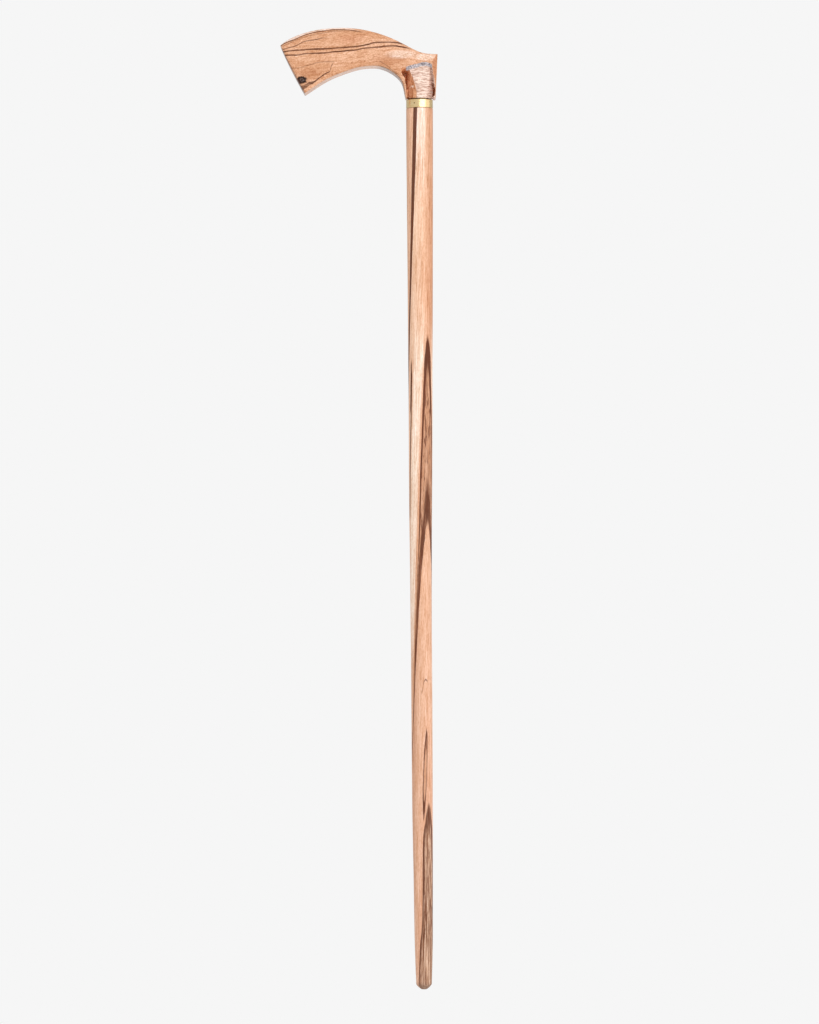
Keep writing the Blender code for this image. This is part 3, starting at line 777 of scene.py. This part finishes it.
    height = m.add(m.mul(streaks, 0.012), m.mul(holes, -0.03))
    ripple = m.noise(m.mm, (2.4, 2.4, 14.0), 2.0, 0.5, 15.0)
    height = m.add(height, m.mul(ripple, 0.02))
    roughness = m.add(0.4, m.add(m.mul(streaks, 0.04), m.mul(dark, 0.08)))
    roughness = m.add(roughness, m.mul(worn_tip, 0.25))
    return m.finish(colour, roughness, height, IOR=1.36, Specular_IOR_Level=0.3)


def handle_wood():
    m = Maker("handle_wood")
    # The veins keep their course through the plank, but sink a little towards its far side.
    through = m.add(m.y, PLANK_HALF)
    wander = m.noise(m.mm, (22.0, 14.0, 9.0), 2.0, 0.5, 3.0)
    quiver = m.noise(m.mm, (3.5, 3.0, 3.0), 2.0, 0.6, 6.0)
    z = m.add(m.z, m.mul(through, 0.1))
    z = m.add(z, m.add(m.mul(m.mul(wander, through), 0.05), m.mul(quiver, 0.16)))

    lower_course = m.curve(m.x, [
        (-136.0, 886.6), (-115.0, 886.9), (-107.5, 888.0), (-97.5, 888.4), (-88.3, 888.7),
        (-81.7, 889.6), (-73.3, 890.1), (-66.7, 890.8), (-60.0, 891.3), (-54.2, 892.5),
        (-47.5, 893.3), (-39.2, 893.9), (-30.8, 894.7), (-24.2, 894.9), (-18.3, 894.2),
        (-11.7, 893.1), (-6.0, 891.0), (18.0, 884.0),
    ])
    upper_course = m.curve(m.x, [
        (-136.0, 889.3), (-128.8, 890.0), (-120.8, 891.0), (-110.0, 891.6), (-100.0, 892.3),
        (-91.7, 892.4), (-81.7, 893.0), (-68.3, 893.9), (-61.7, 894.3), (-55.0, 895.2),
        (-49.2, 896.3), (-45.0, 897.5), (-40.8, 898.2), (-30.0, 898.5), (-25.0, 898.3),
        (-18.3, 897.5), (-11.0, 894.0),
    ])
    third_course = m.curve(m.x, [
        (-132.0, 891.2), (-122.5, 893.9), (-117.5, 895.2), (-113.3, 897.3), (-109.2, 899.3),
        (-105.0, 900.3), (-99.2, 901.0), (-93.3, 902.4), (-84.0, 903.6), (-70.0, 904.4),
    ])
    fourth_course = m.curve(m.x, [
        (-132.0, 893.5), (-126.7, 896.3), (-111.0, 902.9), (-102.5, 905.4), (-93.3, 907.1),
        (-85.0, 908.5), (-76.7, 909.3), (-68.3, 909.2), (-60.0, 907.8),
    ])
    top_course = m.curve(m.x, [
        (-132.5, 894.5), (-126.7, 898.3), (-118.3, 901.4), (-110.0, 905.0), (-101.7, 907.5),
        (-91.7, 909.3), (-80.0, 910.6), (-68.3, 910.4), (-60.0, 909.2), (-50.0, 907.6),
    ])
    knot_tail_course = m.curve(m.x, [
        (-113.0, 855.3), (-107.5, 857.3), (-105.0, 859.2), (-100.0, 861.0), (-95.8, 864.3),
        (-93.3, 866.0), (-88.3, 869.3), (-85.0, 871.0), (-83.7, 874.5), (-82.6, 877.5),
        (-79.5, 880.0),
    ])
    faint_course = m.curve(m.x, [
        (-122.0, 874.2), (-113.3, 874.8), (-107.5, 876.4), (-101.7, 877.9), (-93.3, 880.0),
        (-79.0, 880.1),
    ])
    palm_course = m.curve(m.x, [
        (-37.5, 880.6), (-29.2, 875.2), (-24.2, 871.0), (-19.0, 867.6),
    ])
    along = m.noise(m.mm, (16.0, 8.0, 4.0), 3.0, 0.65, 9.0)
    darkness = m.add(0.93, m.mul(along, 0.35))

    def vein(course, half_width, soft, strength):
        mask = m.bump_shape(z, course, half_width, soft)
        return m.mul(m.mul(mask, darkness), strength)

    def span(low, high, soft):
        return window(m, m.x, low, high, soft)

    width = m.add(0.42, m.mul(along, 0.16))
    tail_width = m.add(0.42, m.step(m.x, -96.0, -108.0, (0.0, 1.3)))
    tail_breaks = m.step(quiver, -0.8, 0.1, (0.55, 1.0))
    veins = [
        vein(lower_course, width, 0.42, span(-140.0, -14.0, 8.0)),
        vein(upper_course, m.add(width, 0.06), 0.42, span(-140.0, -20.0, 10.0)),
        vein(third_course, 0.3, 0.4, m.mul(span(-140.0, -97.0, 12.0), 0.8)),
        vein(fourth_course, 0.25, 0.4, m.mul(span(-124.0, -72.0, 10.0), 0.45)),
        vein(top_course, 0.3, 0.5, m.mul(span(-140.0, -62.0, 12.0), 0.85)),
        vein(knot_tail_course, tail_width, 0.5, m.mul(span(-114.0, -83.0, 2.0), tail_breaks)),
        vein(faint_course, 0.2, 0.6, m.mul(span(-122.0, -82.0, 3.0), 0.4)),
        vein(palm_course, 0.15, 0.35, m.mul(span(-37.0, -20.0, 2.0), 0.6)),
    ]
    dark = m.highest(*veins)

    # The grain between the veins follows the lower one.
    course = m.sub(z, m.sub(lower_course, VEIN_HEIGHT))
    streak = m.noise(m.xyz(m.x, m.y, course), (24.0, 6.0, 1.7), 3.0, 0.6, 1.0)
    fine = m.noise(m.xyz(m.x, m.y, course), (5.0, 2.2, 0.8), 3.0, 0.65, 2.0)
    specks = m.noise(m.xyz(m.x, m.y, course), (1.7, 1.7, 1.1), 2.0, 0.6, 31.0)
    clouds = m.noise(m.xyz(m.x, m.y, course), (24.0, 14.0, 7.0), 2.0, 0.5, 5.0)
    colour = m.mix(m.step(clouds, -0.7, 0.7), srgb("cf966f"), srgb("e3b08e"))
    colour = m.mix(m.mul(m.step(streak, -0.1, 0.8), 0.5), colour, srgb("bd7d54"))

    def patch(x, height, reach_x, reach_z):
        """1 in the middle of a soft oval, fading to 0 at its reach."""
        dx = m.math("DIVIDE", m.sub(m.x, x), reach_x)
        dz = m.math("DIVIDE", m.sub(z, height), reach_z)
        distance = m.math("SQRT", m.add(m.mul(dx, dx), m.mul(dz, dz)))
        return m.step(m.add(distance, m.mul(clouds, 0.12)), 1.0, 0.25)

    browner = m.highest(patch(-106.0, 869.5, 15.0, 6.0), patch(-29.0, 882.0, 22.0, 8.0))
    colour = m.mix(m.mul(browner, 0.45), colour, srgb("b06c40"))
    colour = m.mix(m.mul(patch(-64.0, 901.0, 20.0, 7.0), 0.3), colour, srgb("d08f6d"))
    # Paler wood beside the neck, partly a painted highlight where the face turns towards the key light.
    pale_wood_and_highlight = m.highest(patch(-17.0, 887.0, 20.0, 5.5), patch(5.0, 884.5, 14.0, 5.0))
    colour = m.mix(m.mul(pale_wood_and_highlight, 0.6), colour, srgb("fadfcc"))

    # The knot: a small dead branch, nearly black, with a paler ring round its middle.
    knot_middle = m.add(KNOT_PLACE[0], m.mul(through, 0.12))
    knot_x = m.math("DIVIDE", m.sub(m.x, knot_middle), KNOT_REACH[0])
    knot_z = m.math("DIVIDE", m.sub(z, KNOT_PLACE[1]), KNOT_REACH[1])
    rag = m.noise(m.mm, (1.9, 3.0, 1.9), 2.0, 0.6, 17.0)
    knot = m.math("SQRT", m.add(m.mul(knot_x, knot_x), m.mul(knot_z, knot_z)))
    knot = m.add(knot, m.mul(rag, 0.4))
    depth_fade = m.step(m.y, 6.0, -6.0)
    around_knot = m.mul(m.step(knot, 1.9, 1.0), depth_fade)
    colour = m.mix(m.mul(around_knot, 0.3), colour, srgb("a9734f"))
    knot_mask = m.mul(m.step(knot, 1.1, 0.85), depth_fade)
    eye = m.bump_shape(knot, 0.3, 0.03, 0.1)
    dead_wood = m.mix(m.step(rag, -0.5, 0.6), srgb("1a0c06"), srgb("45261a"))
    knot_colour = m.mix(m.mul(eye, 0.5), dead_wood, srgb("8e7b74"))

    # Painted reflection along the crown, outside the top vein: the rounded top edge is made pale where it
    # catches the light from above.
    above_top = m.sub(m.z, top_course)
    crown_reflection = m.mul(m.step(above_top, 0.2, 0.7), span(-131.0, -78.0, 26.0))
    colour = m.mix(m.mul(crown_reflection, 0.85), colour, srgb("f3d6c4"))

    vein_colour = m.mix(m.step(fine, -0.8, 0.8), srgb("42200f"), srgb("6e3a1e"))
    colour = m.mix(m.mul(dark, 0.96), colour, vein_colour)
    colour = m.mix(knot_mask, colour, knot_colour)

    holes = m.noise(m.xyz(m.x, m.y, course), (2.2, 0.5, 0.32), 1.0, 0.5, 8.0)
    holes = m.step(holes, 0.45, 0.8)
    grain = m.add(m.mul(fine, 0.6), m.add(m.mul(specks, 0.55), m.mul(streak, 0.42)))
    tone = m.add(1.0, m.sub(grain, m.mul(holes, 0.22)))
    colour = m.tint(colour, tone)

    # The nose's end grain is darker, and its rounded edge is also painted dark as shade; the heel's cut
    # corner is painted darker, and the palm beside the neck gets painted shade where it turns left and down.
    nose_grain_and_shade = m.mul(m.attribute("nose"), m.add(0.6, m.mul(streak, 0.6)))
    colour = m.mix(nose_grain_and_shade, colour, srgb("6a4028"))
    heel_tone = m.mix(m.step(fine, -0.6, 0.8), srgb("a8673f"), srgb("d0916b"))
    colour = m.mix(m.mul(m.attribute("heel"), 0.85), colour, heel_tone)
    # Painted shade on the palm's bevel beside the neck.
    palm_shade_tone = m.mix(m.step(fine, -0.5, 0.6), srgb("73492f"), srgb("b0866a"))
    colour = m.mix(m.mul(m.attribute("palm_shade"), 0.9), colour, palm_shade_tone)

    # The neck is knifed and never finished: pale bare wood on the front flat, partly a painted highlight,
    # painted shade in the grooves, grey on the ledge.
    carved = m.attribute("carved")
    side_flat = m.attribute("side_flat")
    groove_shade = m.attribute("groove_shade")
    ledge = m.attribute("ledge")
    chatter = m.noise(m.xyz(m.x, m.y, m.z), (5.0, 5.0, 0.95), 2.0, 0.6, 21.0)
    scuffs = m.noise(m.mm, (1.8, 1.8, 1.3), 3.0, 0.65, 23.0)
    downward = m.noise(m.mm, (1.6, 1.6, 6.0), 3.0, 0.6, 27.0)
    # Pale bare wood on the front flat, made paler still as a painted highlight where the cut reflects the key
    # light.
    bare_wood_and_painted_light = m.mix(m.step(chatter, -0.45, 0.3), srgb("b98f7b"), srgb("f7ddcd"))
    bare_wood_and_painted_light = m.mix(m.mul(m.step(scuffs, 0.0, 0.9), 0.4), bare_wood_and_painted_light, srgb("a77e68"))
    brown = m.mix(m.step(downward, -0.5, 0.5), srgb("a9663f"), srgb("f0b68c"))
    # Painted highlight: a glint on a small torn chip of the left flat.
    chip_glint = m.mul(window(m, m.x, -8.2, -5.6, 0.5), window(m, m.z, 855.9, 857.5, 0.5))
    brown = m.mix(m.mul(chip_glint, m.step(scuffs, -0.4, 0.2)), brown, srgb("fbe6d3"))
    bare_wood_and_painted_light = m.mix(side_flat, bare_wood_and_painted_light, brown)
    bare_wood_and_painted_light = m.mix(groove_shade, bare_wood_and_painted_light, m.mix(m.step(downward, -0.5, 0.6), srgb("9c5430"), srgb("e89a68")))
    grey = m.mix(m.step(scuffs, -0.5, 0.4), srgb("5f565a"), srgb("d6cdd0"))
    bare_wood_and_painted_light = m.mix(ledge, bare_wood_and_painted_light, grey)
    colour = m.mix(carved, colour, bare_wood_and_painted_light)

    finished = m.sub(1.0, carved)
    height = m.add(m.mul(fine, 0.012), m.mul(holes, -0.03))
    height = m.add(height, m.mul(m.mul(scuffs, carved), 0.05))
    roughness = m.add(m.add(0.42, m.mul(fine, 0.05)), m.mul(carved, 0.3))
    roughness = m.add(roughness, m.mul(m.mul(holes, finished), 0.1))
    return m.finish(colour, roughness, height, IOR=1.2, Coat_Weight=0.7, Coat_IOR=1.25, Coat_Roughness=0.14)


def brass():
    m = Maker("collar_brass")
    turn = m.math("ARCTAN2", m.y, m.x)
    turned = m.noise(m.xyz(m.mul(turn, 6.0), 0.0, m.z), (2.4, 1.0, 0.14), 3.0, 0.6, 1.0)
    smudge = m.noise(m.mm, (3.0, 3.0, 2.2), 3.0, 0.6, 3.0)
    speck = m.noise(m.mm, (0.7, 0.7, 0.5), 2.0, 0.6, 5.0)
    colour = m.mix(m.step(smudge, -0.9, 0.9), srgb("ecca8f"), srgb("f6dfac"))
    # Darker specks, and darker bands at the collar's top and bottom rims.
    rim = m.highest(m.step(m.z, 838.2, 837.2), m.step(m.z, 844.0, 844.9))
    specks_and_dark_rims = m.highest(m.mul(m.step(speck, 0.35, 1.0), 0.5), m.mul(rim, 0.35))
    colour = m.mix(m.mul(specks_and_dark_rims, 0.7), colour, srgb("a98a55"))
    roughness = m.add(0.22, m.add(m.mul(smudge, 0.04), m.mul(specks_and_dark_rims, 0.18)))
    height = m.add(m.mul(turned, 0.0025), m.mul(smudge, 0.003))
    return m.finish(colour, roughness, height, Metallic=1.0)


def pin_brass():
    m = Maker("pin_brass")
    grime = m.noise(m.mm, (0.5, 0.5, 0.5), 3.0, 0.6, 1.0)
    colour = m.mix(m.step(grime, -0.8, 0.8), srgb("5d4526"), srgb("9a7a45"))
    return m.finish(colour, m.add(0.45, m.mul(grime, 0.1)), m.mul(grime, 0.02), Metallic=1.0)


def stud_steel():
    m = Maker("stud_steel")
    zinc = m.noise(m.mm, (1.5, 1.5, 1.5), 3.0, 0.6, 1.0)
    colour = m.mix(m.step(zinc, -0.8, 0.8), srgb("8a8c90"), srgb("b9bbbe"))
    return m.finish(colour, m.add(0.35, m.mul(zinc, 0.08)), m.mul(zinc, 0.01), Metallic=1.0)


def epoxy():
    m = Maker("bedding_epoxy")
    cloud = m.noise(m.mm, (2.5, 2.5, 4.0), 3.0, 0.6, 1.0)
    colour = m.mix(m.step(cloud, -0.8, 0.8), srgb("9c7440"), srgb("c9a468"))
    return m.finish(colour, m.add(0.3, m.mul(cloud, 0.08)), m.mul(cloud, 0.02))


# ================================================================ stage
CAMERA_AWAY = 3850.0
CAMERA_AIM = (-11.5, 453.5)
VIEW_HEIGHT = 973.4
CAMERA_ROLL = math.radians(0.296)
SENSOR_HEIGHT = 36.0
FLOOR_RADIUS = 12.0  # metres
FLOOR_DROP = 0.0002  # metres, which keeps the tip's flat end off the floor
LIGHTS_AIM = Vector((0.0, 0.0, 0.5))  # metres
BACKGROUND = "f6f6f6"
ROOM_FRONT = 0.77
ROOM_BACK = 0.55


def build_camera():
    camera = bpy.data.cameras.new("camera")
    camera.sensor_fit = "VERTICAL"
    camera.sensor_height = SENSOR_HEIGHT
    camera.lens = SENSOR_HEIGHT * CAMERA_AWAY / VIEW_HEIGHT
    camera.clip_end = 50.0
    obj = bpy.data.objects.new("camera", camera)
    bpy.context.scene.collection.objects.link(obj)
    aim_x, aim_z = CAMERA_AIM
    obj.location = (aim_x * MM, -CAMERA_AWAY * MM, aim_z * MM)
    obj.rotation_euler = (math.pi / 2, CAMERA_ROLL, 0.0)
    bpy.context.scene.camera = obj


def build_floor():
    mesh = bpy.data.meshes.new("floor")
    bm = bmesh.new()
    bmesh.ops.create_circle(bm, cap_ends=True, segments=64, radius=FLOOR_RADIUS)
    bm.to_mesh(mesh)
    bm.free()
    floor = bpy.data.objects.new("floor", mesh)
    floor.location.z = -FLOOR_DROP
    bpy.context.scene.collection.objects.link(floor)
    material = bpy.data.materials.new("floor")
    material.use_nodes = True
    shader = material.node_tree.nodes["Principled BSDF"]
    shader.inputs["Base Color"].default_value = (0.0, 0.0, 0.0, 1.0)
    shader.inputs["Specular IOR Level"].default_value = 0.0
    shader.inputs["Emission Color"].default_value = srgb(BACKGROUND)
    shader.inputs["Emission Strength"].default_value = 1.0
    mesh.materials.append(material)


def build_world():
    world = bpy.data.worlds.new("studio")
    bpy.context.scene.world = world
    world.use_nodes = True
    tree = world.node_tree
    tree.nodes.clear()
    output = tree.nodes.new("ShaderNodeOutputWorld")
    seen = tree.nodes.new("ShaderNodeBackground")
    seen.inputs["Color"].default_value = srgb(BACKGROUND)
    around = tree.nodes.new("ShaderNodeBackground")
    around.inputs["Color"].default_value = (0.98, 0.98, 1.0, 1.0)
    # The room is brighter on the side that the cane's face looks at.
    direction = tree.nodes.new("ShaderNodeTexCoord")
    split = tree.nodes.new("ShaderNodeSeparateXYZ")
    fall = tree.nodes.new("ShaderNodeMapRange")
    fall.inputs["From Min"].default_value = -1.0
    fall.inputs["From Max"].default_value = 1.0
    fall.inputs["To Min"].default_value = ROOM_FRONT
    fall.inputs["To Max"].default_value = ROOM_BACK
    tree.links.new(direction.outputs["Generated"], split.inputs[0])
    tree.links.new(split.outputs["Y"], fall.inputs["Value"])
    tree.links.new(fall.outputs[0], around.inputs["Strength"])
    path = tree.nodes.new("ShaderNodeLightPath")
    mix = tree.nodes.new("ShaderNodeMixShader")
    tree.links.new(path.outputs["Is Camera Ray"], mix.inputs[0])
    tree.links.new(around.outputs[0], mix.inputs[1])
    tree.links.new(seen.outputs[0], mix.inputs[2])
    tree.links.new(mix.outputs[0], output.inputs["Surface"])


def softbox(name, azimuth, height, away, size, strength):
    """An area light round the cane, in metres. Azimuth, in degrees, is counted from -Y towards +X."""
    light = bpy.data.lights.new(name, "AREA")
    light.shape = "RECTANGLE"
    light.size, light.size_y = size
    light.energy = strength * size[0] * size[1]
    obj = bpy.data.objects.new(name, light)
    turn = math.radians(azimuth)
    obj.location = (away * math.sin(turn), -away * math.cos(turn), height)
    aim = LIGHTS_AIM - obj.location
    obj.rotation_euler = aim.to_track_quat("-Z", "Y").to_euler()
    obj.visible_camera = False
    bpy.context.scene.collection.objects.link(obj)


def build_lights():
    softbox("key", 27, 1.2, 2.4, (2.2, 2.2), 6.2)
    softbox("side", 76, 1.1, 2.4, (1.6, 2.2), 1.4)
    softbox("top", 180, 2.6, 0.6, (2.4, 2.4), 1.6)


# ================================================================ all of it
def give(objs, material):
    for obj in objs:
        obj.data.materials.clear()
        obj.data.materials.append(material)


def main():
    handle = build_handle()
    shaft = build_shaft()
    collar = build_collar()
    pin = build_pin()
    give([handle], handle_wood())
    give([shaft], shaft_wood())
    give([collar], brass())
    give([pin], pin_brass())
    give([NODES["joint_stud"]], stud_steel())
    give([NODES["handle_bedding"], NODES["shaft_bedding"]], epoxy())
    build_camera()
    build_floor()
    build_world()
    build_lights()
    bpy.context.scene.view_settings.view_transform = "Standard"
    bpy.context.scene.view_settings.look = "None"


main()
